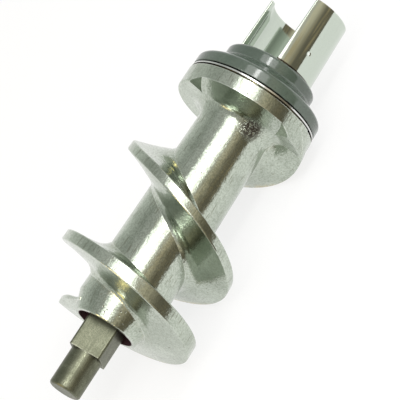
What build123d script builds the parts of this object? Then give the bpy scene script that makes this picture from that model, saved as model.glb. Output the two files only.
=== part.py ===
from build123d import *

import os
from math import acos, atan, atan2, cos, exp, hypot, pi, radians, sin, tan

# Auger of a domestic meat grinder, lying on its side: a die-cast screw with a steel
# knife spindle in its nose and a thrust washer and plain bush round its drive shank.
# Sizes are millimetres. Heights run along the screw's axis from the spindle's tip to
# the shank. Angles are degrees about that axis.

# Knife spindle: a round journal for the hole plate, then a square for the knife
JOURNAL_DIAMETER = 9.8
JOURNAL_LENGTH = 12.0
JOURNAL_END_ROUND = 0.9
SQUARE_SIZE = 10.0
SQUARE_LENGTH = 9.5
SQUARE_CORNER_ROUND = 0.7
SQUARE_ANGLE = -12.4
STEM_DEPTH = 30.0

# Core of the casting, with a recessed nose boss round the square
NOSE_DIAMETER = 19.8
NOSE_LENGTH = 6.0
NOSE_RIM_ROUND = 0.4
NOSE_RECESS_DIAMETER = 17.4
NOSE_RECESS_DEPTH = 4.0
CORE_FRONT_DIAMETER = 24.2
CORE_BACK_DIAMETER = 21.8
SCREW_LENGTH = 78.65

# Flight: left-handed, with a lead that grows from the nose to the flange
FLIGHT_FRONT_DIAMETER = 48.8
FLIGHT_START_HEIGHT = 4.0
FLIGHT_FIRST_TURN = -0.06
FLIGHT_FULL_TURN = 0.13
START_SHARE = 0.02
START_CURVE = 2.4
START_WIDTH_SHARE = 0.25
THICKEN_TURN = 0.4
START_SECTIONS_PER_TURN = 32
FLIGHT_SPLIT_TURN = 1.0
FLIGHT_LAST_TURN = 2.74
FRONT_LEAD = 1.9
LEAD_GROWTH = 20.2
RUN_OUT_TURN = 2.0
RUN_OUT_GROWTH = 16.0
DIE_SWING = 0.8
PARTING_TURN = 0.79
CREST_WIDTH = 3.0
CREST_SWELL = 1.7
SWELL_TURN = 0.5
SWELL_SPAN = 0.36
CREST_EDGE_ROUND = 0.5
FRONT_FLANK_DRAFT = 4.0
BACK_FLANK_DRAFT = 5.0
DRAFT_GROWTH = 5.5
ROOT_ROUND = 4.5
ROOT_SHARE = 0.6
CREST_SHARE = 0.25
ROOT_SINK = 0.3
ROOT_RUN = 1.4
SECTIONS_PER_TURN = 16
BARREL_CURVE = 1.5

# Thrust flange behind the flight, with a relieved sector on its front edge
FLANGE_DIAMETER = 41.6
FLANGE_THICKNESS = 6.85
FLANGE_EDGE_ROUND = 0.7
FLANGE_BACK_ROUND = 0.25
FLANGE_ROOT_ROUND = 5.0
RELIEF_DEPTH = 1.8
RELIEF_FROM_ANGLE = -46.0
RELIEF_TO_ANGLE = 33.0
RELIEF_END_SLOPE = 14.0

# Thrust washer, which bears on a raised land of the flange and one of the bush
WASHER_DIAMETER = 41.2
WASHER_THICKNESS = 0.45
LAND_DIAMETER = 35.0
LAND_HEIGHT = 0.55

# Rear bush
BUSH_DIAMETER = 41.0
BUSH_RIM_THICKNESS = 3.35
BUSH_RIM_ROUND = 1.4
BUSH_LOWER_ROUND = 0.3
BUSH_CONE_HEIGHT = 3.6
BUSH_CONE_ROUND = 1.0
COLLAR_WALL = 2.39
COLLAR_HEIGHT = 3.9
COLLAR_ROUND = 1.2
RUNNING_CLEARANCE = 0.06

# Drive shank: a forked tube that a cross bar drives
SEAT_DIAMETER = 24.1
SHANK_TOP_DIAMETER = 23.1
SHANK_LENGTH = 34.45
BORE_DIAMETER = 20.4
BORE_DISH_DEPTH = 1.0
BORE_DISH_ROUND = 3.0
SLOT_WIDTH = 14.4
PRONG_ANGLE = 50.0
SLOT_FLOOR_RISE = 0.2
SHORT_PRONG_DROP = 4.3
PRONG_EDGE_ROUND = 0.35

# Pose at rest: the angle that lies uppermost, opposite the casting's heavy side
REST_ROLL = -40.0

nose_z = JOURNAL_LENGTH + SQUARE_LENGTH
flange_back_z = nose_z + SCREW_LENGTH
flange_front_z = flange_back_z - FLANGE_THICKNESS
flange_rim_z = flange_back_z - LAND_HEIGHT
washer_back_z = flange_back_z + WASHER_THICKNESS
bush_rim_z = washer_back_z + LAND_HEIGHT
bush_top_z = bush_rim_z + BUSH_RIM_THICKNESS + BUSH_CONE_HEIGHT + COLLAR_HEIGHT
slot_floor_z = bush_top_z + SLOT_FLOOR_RISE
shank_top_z = flange_back_z + SHANK_LENGTH
flight_start_z = nose_z + FLIGHT_START_HEIGHT
core_front_z = nose_z + NOSE_LENGTH
bush_bore_radius = SEAT_DIAMETER / 2 + RUNNING_CLEARANCE


def body_radius(height):
    """Radius of the nose boss and of the tapered core behind it."""
    if height < core_front_z:
        share = (height - nose_z) / NOSE_LENGTH
        return (NOSE_DIAMETER + share * (CORE_FRONT_DIAMETER - NOSE_DIAMETER)) / 2
    share = (height - core_front_z) / (flange_front_z - core_front_z)
    return (CORE_FRONT_DIAMETER + share * (CORE_BACK_DIAMETER - CORE_FRONT_DIAMETER)) / 2


def barrel_radius(height):
    """Outer radius of the flight, which narrows towards the flange as the barrel does."""
    share = max(0.0, (height - flight_start_z) / (flange_back_z - flight_start_z))
    return (FLIGHT_FRONT_DIAMETER - (FLIGHT_FRONT_DIAMETER - FLANGE_DIAMETER) * share**BARREL_CURVE) / 2


def crest_height(turn):
    """Height of the crest's middle after a number of turns from the nose.

    The lead grows evenly, and faster where the flight runs out into the flange. The
    flight climbs faster over the faces that the two die halves form than across the
    parting line.
    """
    run_out = RUN_OUT_GROWTH * max(0.0, turn - RUN_OUT_TURN) ** 2 / 2
    swing = DIE_SWING * turn * sin(2 * pi * (turn - PARTING_TURN))
    return flight_start_z + FRONT_LEAD * turn + LEAD_GROWTH * turn**2 / 2 + run_out + swing


def crest_width(turn):
    """Width of the crest along the axis, which swells on the last turn before the nose."""
    return CREST_WIDTH + CREST_SWELL * exp(-(((turn - SWELL_TURN) / SWELL_SPAN) ** 2))


def flight_share(turn):
    """Share of the flight's full depth, which rises from the nose over the first stretch."""
    share = (turn - FLIGHT_FIRST_TURN) / (FLIGHT_FULL_TURN - FLIGHT_FIRST_TURN)
    return START_SHARE + (1 - START_SHARE) * min(1.0, share) ** START_CURVE


def flight_depth(height, turn):
    """Depth of the flight above the body."""
    return flight_share(turn) * (barrel_radius(height) - body_radius(height))


def width_share(turn):
    """Share of the crest's full width, which thickens from a thin edge at the nose."""
    share = min(1.0, max(0.0, turn / THICKEN_TURN))
    return START_WIDTH_SHARE + (1 - START_WIDTH_SHARE) * share


def flank_lean(draft, turn):
    """Slope of a flank, which leans more where the lead is longer."""
    return tan(radians(draft + DRAFT_GROWTH * turn))


def radial_plane(turn):
    """Plane through the axis at a number of turns along the left-handed flight."""
    angle = radians(-90 - 360 * turn)
    return Plane((0, 0, 0), x_dir=(cos(angle), sin(angle), 0), z_dir=(sin(angle), -cos(angle), 0))


def root_point(height, sink=ROOT_SINK):
    """Point a little under the surface of the body, where the flight is rooted."""
    return (body_radius(height) - sink, height)


def flight_section(turn):
    """Section of the flight with its drafted flanks, rounded crest and hollow roots."""
    front = crest_height(turn) - crest_width(turn) / 2
    back = front + crest_width(turn) * width_share(turn)
    front_depth = flight_depth(front, turn)
    back_depth = flight_depth(back, turn)
    front_foot = front - front_depth * flank_lean(FRONT_FLANK_DRAFT, turn)
    back_foot = back + back_depth * flank_lean(BACK_FLANK_DRAFT, turn)
    root_round = min(ROOT_ROUND, ROOT_SHARE * (back_depth + ROOT_SINK))
    front_round = min(root_round, (front_foot - nose_z - NOSE_RIM_ROUND) / ROOT_RUN)
    crest_round = min(CREST_EDGE_ROUND, CREST_SHARE * min(front_depth + ROOT_SINK, back - front))
    outline = FilletPolyline(
        root_point(front_foot - ROOT_RUN * front_round, 2 * ROOT_SINK),
        root_point(front_foot),
        (body_radius(front) + front_depth, front),
        (body_radius(back) + back_depth, back),
        root_point(back_foot),
        root_point(back_foot + ROOT_RUN * root_round, 2 * ROOT_SINK),
        radius=[front_round, crest_round, crest_round, root_round],
    )
    base = Line(outline @ 1, outline @ 0)
    return radial_plane(turn) * make_face([*outline.edges(), base])


def flight_stretch(first, last, sections_per_turn):
    """Stretch of the flight between two numbers of turns, lofted through its sections."""
    count = round((last - first) * sections_per_turn)
    return loft([flight_section(first + (last - first) * i / count) for i in range(count + 1)])


def turned(points, radius):
    """Solid turned about the axis from an outline of (radius, height) points."""
    outline = FilletPolyline(*points, radius=radius, close=True)
    return revolve(Plane.XZ * make_face(outline.edges()), Axis.Z)


def cast_core():
    """Nose boss, core, flange and shank as one turned form."""
    points = [
        (0, nose_z),
        (NOSE_DIAMETER / 2, nose_z),
        (CORE_FRONT_DIAMETER / 2, core_front_z),
        (CORE_BACK_DIAMETER / 2, flange_front_z),
        (FLANGE_DIAMETER / 2, flange_front_z),
        (FLANGE_DIAMETER / 2, flange_rim_z),
        (LAND_DIAMETER / 2, flange_rim_z),
        (LAND_DIAMETER / 2, flange_back_z),
        (SEAT_DIAMETER / 2, flange_back_z),
        (SEAT_DIAMETER / 2, bush_top_z),
        (SHANK_TOP_DIAMETER / 2, shank_top_z),
        (0, shank_top_z),
    ]
    front_rounds = [0, NOSE_RIM_ROUND, 0, FLANGE_ROOT_ROUND, FLANGE_EDGE_ROUND, FLANGE_BACK_ROUND]
    rounds = front_rounds + [0] * (len(points) - len(front_rounds))
    return turned(points, rounds)


def square_bar(length):
    """Square bar with rounded corners, standing on the origin at the spindle's angle."""
    section = RectangleRounded(SQUARE_SIZE, SQUARE_SIZE, SQUARE_CORNER_ROUND)
    return Rot(0, 0, SQUARE_ANGLE) * extrude(section, length)


def sector(height, from_angle, to_angle):
    """Triangle from the axis past the flange, between two angles, at a height."""
    reach = FLANGE_DIAMETER
    corners = [(reach * cos(radians(a)), reach * sin(radians(a))) for a in (from_angle, to_angle)]
    return Pos(0, 0, height) * make_face(Polyline((0, 0), *corners, close=True).edges())


def flange_relief():
    """Sloping cut that thins the front edge of the flange and runs tangent into its root round."""
    root_z = flange_front_z - FLANGE_ROOT_ROUND
    root_radius = body_radius(root_z) + FLANGE_ROOT_ROUND
    reach = FLANGE_DIAMETER / 2 - root_radius
    drop = FLANGE_ROOT_ROUND + RELIEF_DEPTH
    slope = acos(FLANGE_ROOT_ROUND / hypot(reach, drop)) - atan2(reach, drop)
    inner = root_radius - FLANGE_ROOT_ROUND * sin(slope)
    inner_z = root_z + FLANGE_ROOT_ROUND * cos(slope)
    outer = FLANGE_DIAMETER / 2 + FLANGE_EDGE_ROUND
    outer_z = inner_z + (outer - inner) * tan(slope)
    wedge = Polyline((inner, inner_z), (inner, root_z), (outer, root_z), (outer, outer_z), close=True)
    ring = revolve(Plane.XZ * make_face(wedge.edges()), Axis.Z)
    spread = 2 * RELIEF_END_SLOPE
    ends = loft(
        [
            sector(flange_front_z - RELIEF_DEPTH, RELIEF_FROM_ANGLE - spread, RELIEF_TO_ANGLE + spread),
            sector(flange_front_z + RELIEF_DEPTH, RELIEF_FROM_ANGLE, RELIEF_TO_ANGLE),
        ]
    )
    return ring & ends


def auger_body():
    """The casting: screw, flange and forked drive shank in one piece."""
    start = flight_stretch(FLIGHT_FIRST_TURN, FLIGHT_FULL_TURN, START_SECTIONS_PER_TURN)
    front_flight = flight_stretch(FLIGHT_FULL_TURN, FLIGHT_SPLIT_TURN, SECTIONS_PER_TURN)
    back_flight = flight_stretch(FLIGHT_SPLIT_TURN, FLIGHT_LAST_TURN, SECTIONS_PER_TURN)
    behind_flange = Pos(0, 0, flange_rim_z) * Cylinder(
        FLIGHT_FRONT_DIAMETER, SCREW_LENGTH, align=(Align.CENTER, Align.CENTER, Align.MIN)
    )
    body = Rot(0, 0, PRONG_ANGLE) * cast_core() - flange_relief()
    body = body + start + front_flight + (back_flight - behind_flange)
    recess = Pos(0, 0, nose_z) * Cylinder(
        NOSE_RECESS_DIAMETER / 2, NOSE_RECESS_DEPTH, align=(Align.CENTER, Align.CENTER, Align.MIN)
    )
    stem = Pos(0, 0, nose_z) * square_bar(STEM_DEPTH)
    body = body - recess - stem - drive_fork()
    return fillet(body.edges().filter_by(is_prong_edge), PRONG_EDGE_ROUND)


def drive_fork():
    """What is cut from the shank: its dished hollow, the cross slot and the short prong's drop."""
    slot_face = Rectangle(2 * SEAT_DIAMETER, SLOT_WIDTH)
    hollow_face = slot_face + Circle(BORE_DIAMETER / 2)
    mouth_corners = hollow_face.vertices().filter_by(lambda corner: abs(corner.X) < BORE_DIAMETER / 2)
    hollow_face = fillet(mouth_corners, PRONG_EDGE_ROUND)
    dish_z = slot_floor_z - BORE_DISH_DEPTH
    dish = Pos(0, 0, dish_z) * Cylinder(
        BORE_DIAMETER / 2, SHANK_LENGTH, align=(Align.CENTER, Align.CENTER, Align.MIN)
    )
    dish = fillet(dish.edges().sort_by(Axis.Z)[0], BORE_DISH_ROUND)
    slot = Pos(0, 0, slot_floor_z) * extrude(slot_face, SHANK_LENGTH)
    mouth = Pos(0, 0, dish_z + BORE_DISH_ROUND) * extrude(hollow_face, SHANK_LENGTH)
    drop = Pos(0, 0, shank_top_z - SHORT_PRONG_DROP) * Box(
        2 * SEAT_DIAMETER, SEAT_DIAMETER, SHANK_LENGTH, align=(Align.CENTER, Align.MAX, Align.MIN)
    )
    return Rot(0, 0, PRONG_ANGLE - 90) * (slot + mouth + drop + dish)


def is_prong_edge(edge):
    """Whether an edge runs along the outside of a prong."""
    middle = edge.position_at(0.5)
    runs_along = edge.bounding_box().size.Z > SHORT_PRONG_DROP
    outside = hypot(middle.X, middle.Y) > (BORE_DIAMETER + SHANK_TOP_DIAMETER) / 4
    offset = abs(middle.X * cos(radians(PRONG_ANGLE)) + middle.Y * sin(radians(PRONG_ANGLE)))
    return runs_along and outside and middle.Z > slot_floor_z and offset < BORE_DIAMETER / 2


def knife_spindle():
    """Steel spindle: journal, knife square and the stem held in the casting."""
    journal = Cylinder(JOURNAL_DIAMETER / 2, JOURNAL_LENGTH, align=(Align.CENTER, Align.CENTER, Align.MIN))
    journal = fillet(journal.edges().sort_by(Axis.Z)[0], JOURNAL_END_ROUND)
    return journal + Pos(0, 0, JOURNAL_LENGTH) * square_bar(SQUARE_LENGTH + STEM_DEPTH)


def thrust_washer():
    """Thin steel ring between the flange and the bush."""
    points = [
        (bush_bore_radius, flange_back_z),
        (WASHER_DIAMETER / 2, flange_back_z),
        (WASHER_DIAMETER / 2, washer_back_z),
        (bush_bore_radius, washer_back_z),
    ]
    return turned(points, 0)


def rear_bush():
    """Moulded bush with a broad rim, a cone and a bearing collar."""
    collar_radius = bush_bore_radius + COLLAR_WALL
    rim_top_z = bush_rim_z + BUSH_RIM_THICKNESS
    collar_foot_z = rim_top_z + BUSH_CONE_HEIGHT
    points = [
        (bush_bore_radius, washer_back_z),
        (LAND_DIAMETER / 2, washer_back_z),
        (LAND_DIAMETER / 2, bush_rim_z),
        (BUSH_DIAMETER / 2, bush_rim_z),
        (BUSH_DIAMETER / 2, rim_top_z),
        (collar_radius, collar_foot_z),
        (collar_radius, bush_top_z),
        (bush_bore_radius, bush_top_z),
    ]
    return turned(points, [0, 0, 0, BUSH_LOWER_ROUND, BUSH_RIM_ROUND, BUSH_CONE_ROUND, COLLAR_ROUND, 0])


def rest_location(shapes):
    """Lay the screw on its side, on two crests of its flight, above the origin."""
    bottom_turns = [turn + (90 - REST_ROLL) / 360 for turn in (1, 2)]
    near, far = [crest_height(turn) for turn in bottom_turns]
    sink = atan((barrel_radius(near) - barrel_radius(far)) / (far - near))
    roll = radians(REST_ROLL)
    lying = Plane(
        (0, 0, 0),
        x_dir=(sin(sink) * cos(roll), sin(roll), cos(sink) * cos(roll)),
        z_dir=(cos(sink), 0, -sin(sink)),
    ).location
    box = Compound([lying * shape for shape in shapes]).bounding_box()
    return Pos(-box.center().X, -box.center().Y, -box.min.Z) * lying


pieces = {
    "auger_body": auger_body(),
    "knife_spindle": knife_spindle(),
    "thrust_washer": thrust_washer(),
    "rear_bush": rear_bush(),
}
rest = rest_location(list(pieces.values()))

os.makedirs("parts", exist_ok=True)
for name, shape in pieces.items():
    export_step(rest * shape, f"parts/{name}.step")
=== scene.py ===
"""Finishes, studio and camera for a meat grinder auger that lies on a white table."""

import logging
import math
from dataclasses import dataclass, field
from enum import Enum
from typing import Any

import bpy
from mathutils import Matrix, Vector

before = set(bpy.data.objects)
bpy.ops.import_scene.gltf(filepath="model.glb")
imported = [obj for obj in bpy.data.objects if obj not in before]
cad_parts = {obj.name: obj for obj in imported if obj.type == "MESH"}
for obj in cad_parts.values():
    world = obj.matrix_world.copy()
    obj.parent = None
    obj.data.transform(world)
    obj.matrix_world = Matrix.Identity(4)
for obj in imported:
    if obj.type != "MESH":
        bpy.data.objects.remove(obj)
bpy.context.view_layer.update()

log = logging.getLogger("auger")

Colour = tuple[float, float, float]
Place = tuple[float, float, float]
Levels = tuple[float, float]
Layers = tuple[tuple[bpy.types.NodeSocket, float, Colour], ...]

FLOAT = "NodeSocketFloat"

# The screw's axis in the part's frame: the spindle's tip in metres, and the direction from there
AXIS_TIP: Place = (-0.067327, 0.000073, 0.026303)
AXIS_ALONG: Place = (0.998599, 0.0, -0.05292)

# A Mix node holds the sockets of all its data types, so those in use are found by index
MIX_SHARE = 0
MIX_VALUES = (2, 3)
MIX_VALUE_OUT = 0
MIX_COLOURS = (6, 7)
MIX_COLOUR_OUT = 2

# Finer layers of a noise: few for waves and streaks, more for grain and patches
PLAIN_DETAIL = 2.0
RICH_DETAIL = 3.0

# Levels of noise between which a tone or a roughness runs from one end to the other
GRAIN_LEVELS: Levels = (0.35, 0.68)
SLOW_LEVELS: Levels = (0.45, 0.70)
ROUGH_LEVELS: Levels = (0.3, 0.7)

# Share of a mark's reach within which its mask is full
FULL_SHARE = 0.3


class Ray(Enum):
    """Kinds of ray that see the white table at its full tone."""

    CAMERA = "Is Camera Ray"
    GLOSSY = "Is Glossy Ray"
    TRANSMISSION = "Is Transmission Ray"


class Piece(Enum):
    """Pieces that the CAD model brings."""

    BODY = "auger_body"
    SPINDLE = "knife_spindle"
    WASHER = "thrust_washer"
    BUSH = "rear_bush"


def paint(colour: Any) -> Any:
    """Give a plain colour its alpha, and leave a socket as it is.

    Args:
        colour: A colour or a socket.

    Returns:
        The colour with its alpha, or the socket.
    """
    if isinstance(colour, bpy.types.NodeSocket):
        return colour
    return (*colour, 1.0)


def darker(tone: Colour, share: float) -> Colour:
    """Give a share of a tone."""
    return tuple(share * part for part in tone)


class Graph:
    """Small helper that adds and joins the nodes of one node tree."""

    def __init__(self, tree: bpy.types.NodeTree) -> None:
        """Start on an empty tree.

        Args:
            tree: Node tree of a material, a world or a node group.
        """
        self.tree = tree
        tree.nodes.clear()

    def fill(self, socket: bpy.types.NodeSocket, value: Any) -> None:
        """Link another node's output to an input, or set a plain value there.

        Args:
            socket: The input.
            value: A plain value or an output.
        """
        if isinstance(value, bpy.types.NodeSocket):
            self.tree.links.new(value, socket)
        else:
            socket.default_value = value

    def add(
        self, kind: str, inputs: dict[str | int, Any] | None = None, **settings: Any
    ) -> bpy.types.Node:
        """Add a node, set its properties and fill or link its inputs.

        Args:
            kind: Blender's name of the node type.
            inputs: Socket name or index to a plain value or to another node's output.
            **settings: Properties of the node, such as operation.

        Returns:
            The new node.
        """
        node = self.tree.nodes.new(kind)
        for name, value in settings.items():
            setattr(node, name, value)
        for key, value in (inputs or {}).items():
            self.fill(node.inputs[key], value)
        return node

    def math(self, operation: str, *values: Any, clamp: bool = False) -> bpy.types.NodeSocket:
        """Add a Math node.

        Args:
            operation: Blender's name of the operation.
            *values: Numbers or sockets for its inputs, in order.
            clamp: Whether the result is kept between 0 and 1.

        Returns:
            The result's socket.
        """
        node = self.add("ShaderNodeMath", dict(enumerate(values)), operation=operation, use_clamp=clamp)
        return node.outputs[0]

    def vector(self, operation: str, *values: Any, output: str = "Vector") -> bpy.types.NodeSocket:
        """Add a Vector Math node.

        Args:
            operation: Blender's name of the operation.
            *values: Vectors or sockets for its inputs, in order.
            output: Name of the output to hand back.

        Returns:
            The asked output's socket.
        """
        node = self.add("ShaderNodeVectorMath", dict(enumerate(values)), operation=operation)
        return node.outputs[output]

    def scale(self, direction: Place, factor: bpy.types.NodeSocket) -> bpy.types.NodeSocket:
        """Scale a fixed direction by a value."""
        inputs = {0: direction, "Scale": factor}
        return self.add("ShaderNodeVectorMath", inputs, operation="SCALE").outputs[0]

    def fade(self, value: bpy.types.NodeSocket, low: float, high: float) -> bpy.types.NodeSocket:
        """Map a value smoothly from 0 at one level to 1 at another.

        Args:
            value: The value to map.
            low: Level that gives 0.
            high: Level that gives 1.

        Returns:
            The mapped value's socket.
        """
        inputs = {"Value": value, "From Min": low, "From Max": high}
        return self.add("ShaderNodeMapRange", inputs, interpolation_type="SMOOTHSTEP").outputs["Result"]

    def span(
        self, value: bpy.types.NodeSocket, low: float, high: float, first: float, last: float
    ) -> bpy.types.NodeSocket:
        """Map a value from one span to another.

        Args:
            value: The value to map.
            low: Level that gives the first result.
            high: Level that gives the last result.
            first: Result at the low level.
            last: Result at the high level.

        Returns:
            The mapped value's socket.
        """
        inputs = {"Value": value, "From Min": low, "From Max": high, "To Min": first, "To Max": last}
        return self.add("ShaderNodeMapRange", inputs).outputs["Result"]

    def noise(self, place: bpy.types.NodeSocket, scale: Any, detail: float) -> bpy.types.NodeSocket:
        """Add a noise texture.

        Args:
            place: Where it is read.
            scale: Its scale, a number or a socket.
            detail: Its finer layers.

        Returns:
            The noise's value.
        """
        inputs = {"Vector": place, "Scale": scale, "Detail": detail}
        return self.add("ShaderNodeTexNoise", inputs).outputs[0]

    def blend(self, share: Any, first: Any, second: Any) -> bpy.types.NodeSocket:
        """Mix two values.

        Args:
            share: How much of the second value shows, a number or a socket.
            first: First value or its socket.
            second: Second value or its socket.

        Returns:
            The mixed value's socket.
        """
        low, high = MIX_VALUES
        inputs = {MIX_SHARE: share, low: first, high: second}
        return self.add("ShaderNodeMix", inputs).outputs[MIX_VALUE_OUT]

    def mix(self, share: Any, first: Any, second: Any) -> bpy.types.NodeSocket:
        """Mix two colours.

        Args:
            share: How much of the second colour shows, a number or a socket.
            first: First colour or its socket.
            second: Second colour or its socket.

        Returns:
            The mixed colour's socket.
        """
        low, high = MIX_COLOURS
        inputs = {MIX_SHARE: share, low: paint(first), high: paint(second)}
        return self.add("ShaderNodeMix", inputs, data_type="RGBA").outputs[MIX_COLOUR_OUT]

    def layer(self, colour: Any, layers: Layers) -> bpy.types.NodeSocket:
        """Lay tones over a colour, one after another.

        Args:
            colour: The lowest colour or its socket.
            layers: Mask, greatest share and tone of each layer.

        Returns:
            The topmost colour's socket.
        """
        for mask, share, tone in layers:
            colour = self.mix(self.math("MULTIPLY", mask, share), colour, tone)
        return colour


def new_group(name: str, inputs: dict[str, str], outputs: dict[str, str]) -> tuple[Graph, Any, Any]:
    """Start a shader node group with named sockets.

    Args:
        name: Name of the group.
        inputs: Input name to socket type.
        outputs: Output name to socket type.

    Returns:
        The group's graph, its input node and its output node.
    """
    tree = bpy.data.node_groups.new(name, "ShaderNodeTree")
    for direction, sockets in (("INPUT", inputs), ("OUTPUT", outputs)):
        for socket, kind in sockets.items():
            tree.interface.new_socket(name=socket, in_out=direction, socket_type=kind)
    graph = Graph(tree)
    return graph, graph.add("NodeGroupInput"), graph.add("NodeGroupOutput")


@dataclass
class Effects:
    """Shader node groups that several finishes share.

    Each pair of levels says where a mask starts and where it is full.
    """

    streak_share: float = 0.12
    slow_share: float = 0.3
    pit_levels: Levels = (0.16, 0.04)
    pit_patch_levels: Levels = (0.55, 0.66)
    # Levels of the edge mask for wear and painted highlights
    rub_and_highlight_levels: Levels = (0.985, 0.9)
    hollow_levels: Levels = (0.80, 0.35)
    # Levels of the patches where hollow corners get grease and painted light
    grease_and_light_patch_levels: Levels = (0.35, 0.60)
    axis: bpy.types.NodeTree = field(init=False)
    skin: bpy.types.NodeTree = field(init=False)
    rub_and_highlight: bpy.types.NodeTree = field(init=False)
    grease_and_corner_light: bpy.types.NodeTree = field(init=False)

    def __post_init__(self) -> None:
        """Build each group once."""
        self.axis = self.build_axis()
        self.skin = self.build_skin()
        self.rub_and_highlight = self.build_rub_and_highlight()
        self.grease_and_corner_light = self.build_grease_and_corner_light()

    def build_axis(self) -> bpy.types.NodeTree:
        """Build the group that measures a point against the screw's axis.

        Its streaks are a noise that is drawn out along the axis, because it is read at only
        a share of the distance there.

        Returns:
            A group with the distance along the axis and the radius in metres, and fine
            streaks that run along the axis.
        """
        graph, given, result = new_group(
            "screw_axis", {"Streak Scale": FLOAT}, {"Along": FLOAT, "Radius": FLOAT, "Streak": FLOAT}
        )
        place = graph.add("ShaderNodeTexCoord").outputs["Object"]
        offset = graph.vector("SUBTRACT", place, AXIS_TIP)
        along = graph.vector("DOT_PRODUCT", offset, AXIS_ALONG, output="Value")
        radius = graph.vector("DISTANCE", offset, graph.scale(AXIS_ALONG, along), output="Value")
        back = graph.math("MULTIPLY", along, self.streak_share - 1.0)
        drawn = graph.vector("ADD", offset, graph.scale(AXIS_ALONG, back))
        streak = graph.noise(drawn, given.outputs["Streak Scale"], PLAIN_DETAIL)
        for name, socket in (("Along", along), ("Radius", radius), ("Streak", streak)):
            graph.fill(result.inputs[name], socket)
        return graph.tree

    def build_skin(self) -> bpy.types.NodeTree:
        """Build the group for an uneven skin: slow waves, fine grain and scattered pits.

        Returns:
            A group with the skin's height, a slow and a fine tone, and a mask of pits.
        """
        graph, given, result = new_group(
            "uneven_skin",
            {"Wave Scale": FLOAT, "Grain Scale": FLOAT, "Grain Share": FLOAT, "Pit Scale": FLOAT},
            {"Height": FLOAT, "Slow": FLOAT, "Fine": FLOAT, "Pits": FLOAT},
        )
        place = graph.add("ShaderNodeTexCoord").outputs["Object"]
        wave_scale = given.outputs["Wave Scale"]
        wave = graph.noise(place, wave_scale, PLAIN_DETAIL)
        grain = graph.noise(place, given.outputs["Grain Scale"], RICH_DETAIL)
        slow = graph.noise(place, graph.math("MULTIPLY", wave_scale, self.slow_share), RICH_DETAIL)
        pits = graph.add("ShaderNodeTexVoronoi", {"Vector": place, "Scale": given.outputs["Pit Scale"]})
        pit_mask = graph.fade(pits.outputs["Distance"], *self.pit_levels)
        pit_mask = graph.math("MULTIPLY", pit_mask, graph.fade(slow, *self.pit_patch_levels))
        height = graph.math("MULTIPLY_ADD", grain, given.outputs["Grain Share"], wave)
        height = graph.math("SUBTRACT", height, pit_mask)
        for name, socket in (("Height", height), ("Slow", slow), ("Fine", grain), ("Pits", pit_mask)):
            graph.fill(result.inputs[name], socket)
        return graph.tree

    def build_rub_and_highlight(self) -> bpy.types.NodeTree:
        """Build the group that finds edges, which finishes lighten for wear from handling and as a
        painted highlight.

        Returns:
            A group with a mask of rubbed edges that also carry a painted highlight.
        """
        graph, given, result = new_group("edge_rub_and_highlight", {"Width": FLOAT}, {"Mask": FLOAT})
        bevel = graph.add("ShaderNodeBevel", {"Radius": given.outputs["Width"]}, samples=4)
        flat = graph.add("ShaderNodeNewGeometry").outputs["Normal"]
        facing = graph.vector("DOT_PRODUCT", bevel.outputs[0], flat, output="Value")
        graph.fill(result.inputs["Mask"], graph.fade(facing, *self.rub_and_highlight_levels))
        return graph.tree

    def build_grease_and_corner_light(self) -> bpy.types.NodeTree:
        """Build the group that finds hollow corners, where finishes lay grease together with painted
        light: painted shade on the steel and the plastic, a painted warm glint on the casting.

        Returns:
            A group with a mask of hollow corners.
        """
        sockets = {"Reach": FLOAT, "Patch Scale": FLOAT}
        graph, given, result = new_group("corner_grease_and_light", sockets, {"Mask": FLOAT})
        hollow = graph.add("ShaderNodeAmbientOcclusion", {"Distance": given.outputs["Reach"]}, samples=6)
        place = graph.add("ShaderNodeTexCoord").outputs["Object"]
        patch = graph.noise(place, given.outputs["Patch Scale"], RICH_DETAIL)
        deep = graph.fade(hollow.outputs["AO"], *self.hollow_levels)
        mask = graph.math("MULTIPLY", deep, graph.fade(patch, *self.grease_and_light_patch_levels))
        graph.fill(result.inputs["Mask"], mask)
        return graph.tree


class FinishGraph(Graph):
    """Graph of one material, with a Principled BSDF and calls for the shared effects."""

    def __init__(self, name: str) -> None:
        """Start the material.

        Args:
            name: Name of the material.
        """
        self.material = bpy.data.materials.new(name)
        self.material.use_nodes = True
        super().__init__(self.material.node_tree)
        self.shader = self.add("ShaderNodeBsdfPrincipled")
        self.add("ShaderNodeOutputMaterial", {"Surface": self.shader.outputs[0]})

    def effect(self, tree: bpy.types.NodeTree, **values: float) -> bpy.types.Node:
        """Place a shared effect with its own values.

        Args:
            tree: The effect's node group.
            **values: Input name, with an underscore for each space, to a number.

        Returns:
            The group node.
        """
        node = self.add("ShaderNodeGroup", node_tree=tree)
        for name, value in values.items():
            node.inputs[name.replace("_", " ")].default_value = value
        return node

    def feed(self, name: str, value: Any) -> None:
        """Link a socket to an input of the shader, or set a plain value there."""
        self.fill(self.shader.inputs[name], value)

    def near(self, place: Place, reach: float) -> bpy.types.NodeSocket:
        """Find the surface round a place.

        Args:
            place: The place, in the part's frame.
            reach: Distance in metres where the mask ends.

        Returns:
            A mask that is 1 at the place.
        """
        here = self.add("ShaderNodeTexCoord").outputs["Object"]
        distance = self.vector("DISTANCE", here, place, output="Value")
        return self.fade(distance, reach, FULL_SHARE * reach)

    def bump(self, height: bpy.types.NodeSocket, strength: float, depth: float) -> None:
        """Feed the shader's normal from a height.

        Args:
            height: The height's socket.
            strength: How much of the bump shows.
            depth: Depth in metres of a step from 0 to 1.
        """
        node = self.add("ShaderNodeBump", {"Strength": strength, "Distance": depth, "Height": height})
        self.feed("Normal", node.outputs[0])


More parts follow.
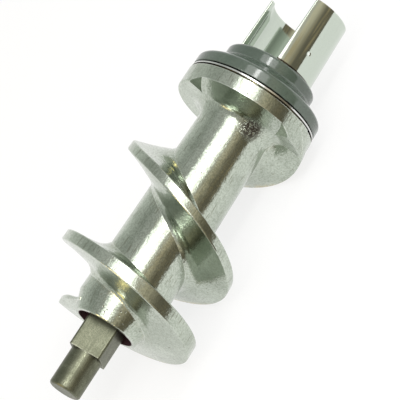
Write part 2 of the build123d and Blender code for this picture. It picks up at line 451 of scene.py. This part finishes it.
@dataclass(frozen=True, kw_only=True)
class Finish:
    """What every finish has: its tones, an uneven skin, rubbed edges with a painted highlight, and
    grease with painted light in hollow corners.

    The width of the rubbed edges and their painted highlight, the reach of the grease and painted
    corner light and the depth of the bump are in metres.
    """

    name: str
    tone: Colour
    dark_tone: Colour
    rub_and_highlight_tone: Colour
    roughness: Levels
    wave_scale: float
    grain_scale: float
    grain_share: float
    pit_scale: float
    rub_and_highlight_width: float = 0.0005
    rub_and_highlight_share: float = 0.7
    grease_and_light_reach: float
    grease_and_light_scale: float
    bump_strength: float = 0.5
    bump_depth: float = 0.00003

    def skin(self, graph: FinishGraph, effects: Effects) -> bpy.types.Node:
        """Place the uneven skin.

        Args:
            graph: The material's graph.
            effects: The shared node groups.

        Returns:
            The skin's group node.
        """
        return graph.effect(
            effects.skin,
            Wave_Scale=self.wave_scale,
            Grain_Scale=self.grain_scale,
            Grain_Share=self.grain_share,
            Pit_Scale=self.pit_scale,
        )

    def rub_and_highlight(self, graph: FinishGraph, effects: Effects) -> bpy.types.NodeSocket:
        """Place the mask of rubbed edges with their painted highlight."""
        return graph.effect(effects.rub_and_highlight, Width=self.rub_and_highlight_width).outputs["Mask"]

    def grease_and_corner_light(self, graph: FinishGraph, effects: Effects) -> bpy.types.NodeSocket:
        """Place the mask of hollow corners that carry grease and painted light."""
        grease_and_corner_light = graph.effect(effects.grease_and_corner_light, Reach=self.grease_and_light_reach, Patch_Scale=self.grease_and_light_scale)
        return grease_and_corner_light.outputs["Mask"]

    def grain_roughness(self, graph: FinishGraph, skin: bpy.types.Node) -> bpy.types.NodeSocket:
        """Let the skin's grain run the roughness from one end to the other."""
        return graph.span(skin.outputs["Fine"], *ROUGH_LEVELS, *self.roughness)


@dataclass(frozen=True)
class CastMarks:
    """Masks that part the casting's skins and place its marks."""

    shank: bpy.types.NodeSocket
    recess: bpy.types.NodeSocket
    bush_shade_line: bpy.types.NodeSocket
    scorch: bpy.types.NodeSocket
    nick: bpy.types.NodeSocket


@dataclass(frozen=True, kw_only=True)
class CastAluminium(Finish):
    """Bright die-cast skin on the screw, smoother and more mirror-like on the shank."""

    name: str = "cast_aluminium"
    tone: Colour = (0.55, 0.60, 0.52)
    dark_tone: Colour = (0.355, 0.395, 0.33)
    shank_tone: Colour = (0.58, 0.64, 0.565)
    shank_share: float = 0.9
    streak_tone: Colour = (0.26, 0.275, 0.215)
    streak_share: float = 0.7
    pit_tone: Colour = (0.17, 0.16, 0.13)
    rub_and_highlight_tone: Colour = (0.86, 0.89, 0.84)
    # Warm tone of grease in hollow corners, also a painted golden glint on the root fillets
    grease_and_glint_tone: Colour = (0.62, 0.50, 0.26)
    grease_and_glint_share: float = 0.8
    # Painted shade inside the nose recess
    recess_shade_tone: Colour = (0.075, 0.028, 0.034)
    # Dark tone of the scorched patch, also used for the painted shade line at the bush's rim
    scorch_and_shade_tone: Colour = (0.07, 0.06, 0.048)
    fine_levels: Levels = (0.36, 0.66)
    fine_share: float = 0.6
    slow_levels: Levels = (0.40, 0.66)
    slow_share: float = 0.4
    roughness: Levels = (0.09, 0.21)
    streak_roughness: float = 0.084
    shank_roughness: float = 0.08
    recess_and_scorch_roughness: float = 0.62
    recess_metal: float = 0.2
    wave_scale: float = 360.0
    grain_scale: float = 1900.0
    grain_share: float = 0.45
    streak_scale: float = 1700.0
    streak_levels: Levels = (0.58, 0.70)
    pit_scale: float = 560.0
    rub_and_highlight_width: float = 0.0006
    grease_and_light_reach: float = 0.005
    grease_and_light_scale: float = 500.0
    bump_depth: float = 0.00014
    shank_bump: float = 0.07

    def material(self, effects: Effects, casting: "ScrewCasting") -> bpy.types.Material:
        """Build the casting's material.

        Args:
            effects: The shared node groups.
            casting: The casting, which knows where its skins meet and its marks lie.

        Returns:
            The material.
        """
        graph = FinishGraph(self.name)
        axis = graph.effect(effects.axis, Streak_Scale=self.streak_scale)
        skin = self.skin(graph, effects)
        marks = casting.marks(graph, axis, skin)
        streak = graph.fade(axis.outputs["Streak"], *self.streak_levels)
        layers = (
            (streak, self.streak_share, self.streak_tone),
            (skin.outputs["Pits"], 1.0, self.pit_tone),
            # Hollow corners tinted warm: grease and a painted golden glint
            (self.grease_and_corner_light(graph, effects), self.grease_and_glint_share, self.grease_and_glint_tone),
            (marks.shank, self.shank_share, self.shank_tone),
            # Lighter edges: wear from handling and a painted highlight
            (self.rub_and_highlight(graph, effects), self.rub_and_highlight_share, self.rub_and_highlight_tone),
            # Painted shade: a dark line on the shank at the bush's rim, where the gap between them is
            # shaded
            (marks.bush_shade_line, 1.0, self.scorch_and_shade_tone),
            (marks.scorch, 1.0, self.scorch_and_shade_tone),
            (marks.nick, 1.0, self.rub_and_highlight_tone),
            # Painted shade: the nose recess is coloured nearly black maroon
            (marks.recess, 1.0, self.recess_shade_tone),
        )
        graph.feed("Base Color", graph.layer(self.mottle(graph, skin), layers))
        rough = self.grain_roughness(graph, skin)
        rough = graph.math("MULTIPLY_ADD", streak, self.streak_roughness, rough)
        rough = graph.blend(marks.shank, rough, self.shank_roughness)
        recess_or_scorch = graph.math("MAXIMUM", marks.recess, marks.scorch)
        graph.feed("Roughness", graph.blend(recess_or_scorch, rough, self.recess_and_scorch_roughness))
        graph.feed("Metallic", graph.blend(marks.recess, 1.0, self.recess_metal))
        smooth = graph.blend(marks.shank, 1.0, self.shank_bump)
        height = graph.math("MULTIPLY", skin.outputs["Height"], smooth)
        height = graph.math("SUBTRACT", height, graph.math("ADD", marks.nick, marks.scorch))
        graph.bump(height, self.bump_strength, self.bump_depth)
        return graph.material

    def mottle(self, graph: FinishGraph, skin: bpy.types.Node) -> bpy.types.NodeSocket:
        """Mottle the bare metal with its two tones.

        Args:
            graph: The material's graph.
            skin: The uneven skin.

        Returns:
            The mottled colour's socket.
        """
        fine = graph.fade(skin.outputs["Fine"], *self.fine_levels)
        slow = graph.fade(skin.outputs["Slow"], *self.slow_levels)
        dark = graph.math("MULTIPLY", fine, self.fine_share)
        dark = graph.math("MULTIPLY_ADD", slow, self.slow_share, dark)
        return graph.mix(dark, self.tone, self.dark_tone)


@dataclass(frozen=True, kw_only=True)
class Steel(Finish):
    """Steel with fine grain, drawn streaks, pits, and rubbed edges with a painted highlight."""

    wave_scale: float = 700.0
    grain_scale: float = 3800.0
    grain_share: float = 0.6
    streak_scale: float = 1900.0
    streak_levels: Levels = (0.40, 0.68)
    streak_share: float = 0.6
    pit_scale: float = 900.0
    pit_darkness: float = 0.4
    grease_and_light_reach: float = 0.004
    grease_and_light_scale: float = 600.0
    # Share of the dark tone for grease and painted shade in hollow corners
    grease_and_shade_darkness: float = 0.5

    def material(self, effects: Effects) -> bpy.types.Material:
        """Build the steel's material.

        Args:
            effects: The shared node groups.

        Returns:
            The material.
        """
        graph = FinishGraph(self.name)
        axis = graph.effect(effects.axis, Streak_Scale=self.streak_scale)
        skin = self.skin(graph, effects)
        streak = graph.fade(axis.outputs["Streak"], *self.streak_levels)
        layers = (
            (graph.fade(skin.outputs["Fine"], *GRAIN_LEVELS), 1.0, self.dark_tone),
            (graph.fade(skin.outputs["Slow"], *SLOW_LEVELS), 1.0, self.dark_tone),
            (streak, self.streak_share, self.dark_tone),
            (skin.outputs["Pits"], 1.0, darker(self.dark_tone, self.pit_darkness)),
            # Lighter edges: wear from handling and a painted highlight
            (self.rub_and_highlight(graph, effects), self.rub_and_highlight_share, self.rub_and_highlight_tone),
            # Darker in hollow corners: grease and painted shade
            (self.grease_and_corner_light(graph, effects), 1.0, darker(self.dark_tone, self.grease_and_shade_darkness)),
        )
        graph.feed("Base Color", graph.layer(self.tone, layers))
        graph.feed("Roughness", self.grain_roughness(graph, skin))
        graph.feed("Metallic", 1.0)
        graph.bump(skin.outputs["Height"], self.bump_strength, self.bump_depth)
        return graph.material


@dataclass(frozen=True, kw_only=True)
class BushPlastic(Finish):
    """Dark green-grey moulded plastic with a soft sheen."""

    name: str = "bush_plastic"
    tone: Colour = (0.080, 0.108, 0.086)
    dark_tone: Colour = (0.058, 0.080, 0.062)
    rub_and_highlight_tone: Colour = (0.16, 0.19, 0.16)
    rub_and_highlight_share: float = 0.5
    roughness: Levels = (0.08, 0.14)
    sheen: float = 0.85
    wave_scale: float = 260.0
    grain_scale: float = 2600.0
    grain_share: float = 0.4
    pit_scale: float = 420.0
    grease_and_light_reach: float = 0.003
    grease_and_light_scale: float = 400.0
    # Share of the dark tone for grease and painted shade in hollow corners
    grease_and_shade_darkness: float = 0.3
    bump_strength: float = 0.3

    def material(self, effects: Effects) -> bpy.types.Material:
        """Build the bush's material.

        Args:
            effects: The shared node groups.

        Returns:
            The material.
        """
        graph = FinishGraph(self.name)
        skin = self.skin(graph, effects)
        layers = (
            (graph.fade(skin.outputs["Fine"], *GRAIN_LEVELS), 1.0, self.dark_tone),
            (graph.fade(skin.outputs["Slow"], *SLOW_LEVELS), 1.0, self.dark_tone),
            # Lighter edges: wear from handling and a painted highlight
            (self.rub_and_highlight(graph, effects), self.rub_and_highlight_share, self.rub_and_highlight_tone),
            # Darker in hollow corners: grease and painted shade
            (self.grease_and_corner_light(graph, effects), 1.0, darker(self.dark_tone, self.grease_and_shade_darkness)),
        )
        graph.feed("Base Color", graph.layer(self.tone, layers))
        graph.feed("Roughness", self.grain_roughness(graph, skin))
        graph.feed("Specular IOR Level", self.sheen)
        graph.bump(skin.outputs["Height"], self.bump_strength, self.bump_depth)
        return graph.material


def dress(piece: Piece, material: bpy.types.Material) -> None:
    """Give a CAD piece its material.

    Args:
        piece: The piece.
        material: Its finish.
    """
    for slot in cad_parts[piece.value].material_slots:
        slot.material = material
    log.info("%s wears %s", piece.value, material.name)


@dataclass
class ScrewCasting:
    """The casting: screw, flange and forked shank.

    The recess, the shank and the painted shade line where the bush meets the shank are measured in
    metres along the axis from the spindle's tip, or from the axis. The scorched patch and the nick
    are places in the part's frame.
    """

    recess_to: float = 0.0256
    recess_radius: float = 0.0088
    recess_blend: float = 0.0002
    shank_from: float = 0.1004
    shank_blend: float = 0.0003
    shank_radius: float = 0.0112
    bush_shade_line_at: float = 0.1125
    bush_shade_line_width: float = 0.0006
    scorch_place: Place = (0.0236, -0.0103, 0.0268)
    scorch_reach: float = 0.0048
    speckle_levels: Levels = (0.34, 0.52)
    nick_place: Place = (0.0521, -0.0114, 0.0231)
    nick_reach: float = 0.0008
    aluminium: CastAluminium = CastAluminium()

    def marks(self, graph: FinishGraph, axis: bpy.types.Node, skin: bpy.types.Node) -> CastMarks:
        """Find the casting's skins and marks.

        Args:
            graph: The material's graph.
            axis: The measures against the screw's axis.
            skin: The uneven skin.

        Returns:
            The masks.
        """
        along = axis.outputs["Along"]
        radius = axis.outputs["Radius"]
        shank_levels = (self.shank_from - self.shank_blend, self.shank_from + self.shank_blend)
        before = graph.fade(along, self.recess_to + self.recess_blend, self.recess_to)
        inside = graph.fade(radius, self.recess_radius + self.recess_blend, self.recess_radius)
        # Painted shade: a thin dark ring on the shank at the bush's rim
        off_line = graph.math("ABSOLUTE", graph.math("SUBTRACT", along, self.bush_shade_line_at))
        line = graph.fade(off_line, self.bush_shade_line_width, self.bush_shade_line_width / 2)
        outside = graph.fade(radius, self.recess_radius, self.shank_radius)
        patch = graph.near(self.scorch_place, self.scorch_reach)
        speckle = graph.fade(skin.outputs["Fine"], *self.speckle_levels)
        return CastMarks(
            shank=graph.fade(along, *shank_levels),
            recess=graph.math("MULTIPLY", before, inside),
            bush_shade_line=graph.math("MULTIPLY", line, outside),
            scorch=graph.math("MULTIPLY", patch, speckle),
            nick=graph.near(self.nick_place, self.nick_reach),
        )

    def dress(self, effects: Effects) -> None:
        """Give the casting its skins."""
        dress(Piece.BODY, self.aluminium.material(effects, self))


@dataclass
class KnifeSpindle:
    """Journal and knife square of sintered steel."""

    steel: Steel = Steel(
        name="spindle_steel",
        tone=(0.225, 0.235, 0.168),
        dark_tone=(0.118, 0.124, 0.086),
        rub_and_highlight_tone=(0.42, 0.42, 0.34),
        roughness=(0.34, 0.50),
    )

    def dress(self, effects: Effects) -> None:
        """Give the spindle its steel."""
        dress(Piece.SPINDLE, self.steel.material(effects))


@dataclass
class RearBearing:
    """Thrust washer and loose bush behind the flange."""

    steel: Steel = Steel(
        name="washer_steel",
        tone=(0.78, 0.79, 0.77),
        dark_tone=(0.66, 0.67, 0.65),
        rub_and_highlight_tone=(0.9, 0.9, 0.88),
        roughness=(0.14, 0.24),
    )
    plastic: BushPlastic = BushPlastic()

    def dress(self, effects: Effects) -> None:
        """Give the washer its steel and the bush its plastic."""
        dress(Piece.WASHER, self.steel.material(effects))
        dress(Piece.BUSH, self.plastic.material(effects))


@dataclass
class PhotoCamera:
    """Camera at the photograph's viewing angle.

    Its places are in metres, its roll against level in degrees, its lens and sensor in
    millimetres.
    """

    place: Place = (-0.15954, -0.48319, 0.52648)
    aim: Place = (0.00058, -0.00151, 0.02046)
    roll: float = 45.862
    lens: float = 225.0
    sensor_width: float = 36.0

    def build(self) -> None:
        """Add the camera and make it the scene's own."""
        data = bpy.data.cameras.new("photo_camera")
        data.lens = self.lens
        data.sensor_width = self.sensor_width
        camera = bpy.data.objects.new("photo_camera", data)
        look = Vector(self.aim) - Vector(self.place)
        turn = look.to_track_quat("-Z", "Y").to_matrix().to_4x4()
        roll = Matrix.Rotation(math.radians(-self.roll), 4, "Z")
        camera.matrix_world = Matrix.Translation(self.place) @ turn @ roll
        bpy.context.scene.collection.objects.link(camera)
        bpy.context.scene.camera = camera


@dataclass(frozen=True, kw_only=True)
class Lamp:
    """Soft rectangular lamp."""

    name: str
    place: Place
    size: tuple[float, float]
    radiance: float
    tint: Colour = (1.0, 1.0, 1.0)
    aim: Place | None = None

    def build(self) -> None:
        """Add the lamp, pointing straight down unless it has an aim."""
        data = bpy.data.lights.new(self.name, "AREA")
        data.shape = "RECTANGLE"
        data.size, data.size_y = self.size
        data.energy = self.radiance * math.pi * self.size[0] * self.size[1]
        data.color = self.tint
        lamp = bpy.data.objects.new(self.name, data)
        lamp.location = self.place
        if self.aim:
            look = Vector(self.aim) - Vector(self.place)
            lamp.rotation_euler = look.to_track_quat("-Z", "Y").to_euler()
        lamp.visible_camera = False
        bpy.context.scene.collection.objects.link(lamp)


@dataclass
class Studio:
    """White table, dim room, a dark card beside the table and soft lamps overhead.

    The card is darkest at its foot. The room's tones run from level on the camera's side,
    over the top, to level on the far side.
    """

    table_size: float = 6.0
    table_tone: float = 0.88
    table_glow: float = 0.80
    card_width: float = 0.9
    card_height: float = 0.105
    card_distance: float = 0.11
    card_foot_height: float = 0.035
    card_foot_tone: Colour = (0.16, 0.142, 0.105)
    card_top_tone: Colour = (0.74, 0.66, 0.50)
    blotch_tone: Colour = (0.46, 0.36, 0.21)
    blotch_scale: float = 45.0
    blotch_levels: Levels = (0.50, 0.66)
    blotch_share: float = 0.7
    room_tones: tuple[tuple[float, Colour], ...] = (
        (0.0, (0.22, 0.20, 0.16)),
        (0.18, (0.62, 0.57, 0.48)),
        (0.50, (0.55, 0.55, 0.53)),
        (0.60, (0.54, 0.55, 0.53)),
        (0.69, (0.42, 0.44, 0.41)),
        (0.81, (0.56, 0.58, 0.55)),
        (1.0, (0.80, 0.82, 0.79)),
    )
    lamps: tuple[Lamp, ...] = (
        Lamp(name="sheet_lamp", place=(0.17, -0.34, 0.63), size=(1.2, 0.56), radiance=1.75),
        Lamp(name="strip_lamp", place=(0.17, -0.29, 0.62), size=(1.2, 0.09), radiance=8.0),
        Lamp(
            name="warm_lamp",
            place=(-0.60, 0.18, 0.26),
            size=(0.22, 0.22),
            radiance=5.0,
            tint=(1.0, 0.74, 0.36),
            aim=(0.0, 0.0, 0.02),
        ),
    )

    def build(self) -> None:
        """Add the table, the card, the room and the lamps."""
        self.build_table()
        self.build_card()
        self.build_room()
        for lamp in self.lamps:
            lamp.build()
        bpy.context.scene.view_settings.view_transform = "Standard"

    def add_sheet(
        self, name: str, corners: list[Place], material: bpy.types.Material
    ) -> bpy.types.Object:
        """Add a flat sheet that belongs to the studio.

        Args:
            name: Name of the sheet.
            corners: Its four corners.
            material: Its finish.

        Returns:
            The sheet.
        """
        mesh = bpy.data.meshes.new(name)
        mesh.from_pydata(corners, [], [tuple(range(len(corners)))])
        mesh.materials.append(material)
        sheet = bpy.data.objects.new(name, mesh)
        bpy.context.scene.collection.objects.link(sheet)
        return sheet

    def build_table(self) -> None:
        """Add the white table that keeps the auger's shadow."""
        material = bpy.data.materials.new("table_white")
        material.use_nodes = True
        graph = Graph(material.node_tree)
        matte = graph.add("ShaderNodeBsdfDiffuse", {"Color": paint((self.table_tone,) * 3)})
        glow = graph.add("ShaderNodeEmission", {"Color": paint((1.0, 1.0, 1.0)), "Strength": 1.0})
        path = graph.add("ShaderNodeLightPath")
        seen = graph.math("ADD", path.outputs[Ray.CAMERA.value], path.outputs[Ray.GLOSSY.value])
        seen = graph.math("ADD", seen, path.outputs[Ray.TRANSMISSION.value], clamp=True)
        share = graph.math("MULTIPLY", seen, self.table_glow)
        surface = graph.add("ShaderNodeMixShader", {0: share, 1: matte.outputs[0], 2: glow.outputs[0]})
        graph.add("ShaderNodeOutputMaterial", {"Surface": surface.outputs[0]})
        half = self.table_size / 2
        corners = [(-half, -half, 0.0), (half, -half, 0.0), (half, half, 0.0), (-half, half, 0.0)]
        self.add_sheet("table", corners, material)

    def build_card(self) -> None:
        """Add the brown card that gives the metal its dark reflection."""
        material = bpy.data.materials.new("card_brown")
        material.use_nodes = True
        graph = Graph(material.node_tree)
        place = graph.add("ShaderNodeTexCoord").outputs["Object"]
        height = graph.add("ShaderNodeSeparateXYZ", {0: place}).outputs["Z"]
        rise = graph.fade(height, self.card_foot_height, self.card_height)
        blotch = graph.fade(graph.noise(place, self.blotch_scale, RICH_DETAIL), *self.blotch_levels)
        layers = ((rise, 1.0, self.card_top_tone), (blotch, self.blotch_share, self.blotch_tone))
        colour = graph.layer(self.card_foot_tone, layers)
        glow = graph.add("ShaderNodeEmission", {"Color": colour, "Strength": 1.0})
        graph.add("ShaderNodeOutputMaterial", {"Surface": glow.outputs[0]})
        half = self.card_width / 2
        side = -self.card_distance
        top = self.card_height
        corners = [(-half, side, 0.0), (half, side, 0.0), (half, side, top), (-half, side, top)]
        card = self.add_sheet("card", corners, material)
        card.visible_camera = False
        card.visible_shadow = False
        card.visible_diffuse = False

    def build_room(self) -> None:
        """Give the world a dim room, browner on the side where the camera stands."""
        world = bpy.data.worlds.new("room")
        world.use_nodes = True
        graph = Graph(world.node_tree)
        direction = graph.add("ShaderNodeTexCoord").outputs["Generated"]
        way = graph.add("ShaderNodeSeparateXYZ", {0: direction})
        angle = graph.math("ARCTAN2", way.outputs["Y"], way.outputs["Z"])
        share = graph.math("MULTIPLY_ADD", angle, 1.0 / math.pi, 0.5)
        ramp = graph.add("ShaderNodeValToRGB", {0: share})
        first, *between, last = self.room_tones
        stops = ramp.color_ramp.elements
        for stop, (position, tone) in zip(stops, (first, last)):
            stop.position = position
            stop.color = paint(tone)
        for position, tone in between:
            stops.new(position).color = paint(tone)
        shade = graph.add("ShaderNodeBackground", {"Color": ramp.outputs[0], "Strength": 1.0})
        graph.add("ShaderNodeOutputWorld", {"Surface": shade.outputs[0]})
        bpy.context.scene.world = world


def main() -> None:
    """Dress each sub-assembly, then set up the studio and the camera."""
    logging.basicConfig(level=logging.INFO)
    effects = Effects()
    for assembly in (ScrewCasting(), KnifeSpindle(), RearBearing()):
        assembly.dress(effects)
    Studio().build()
    PhotoCamera().build()


if __name__ == "__main__":
    main()
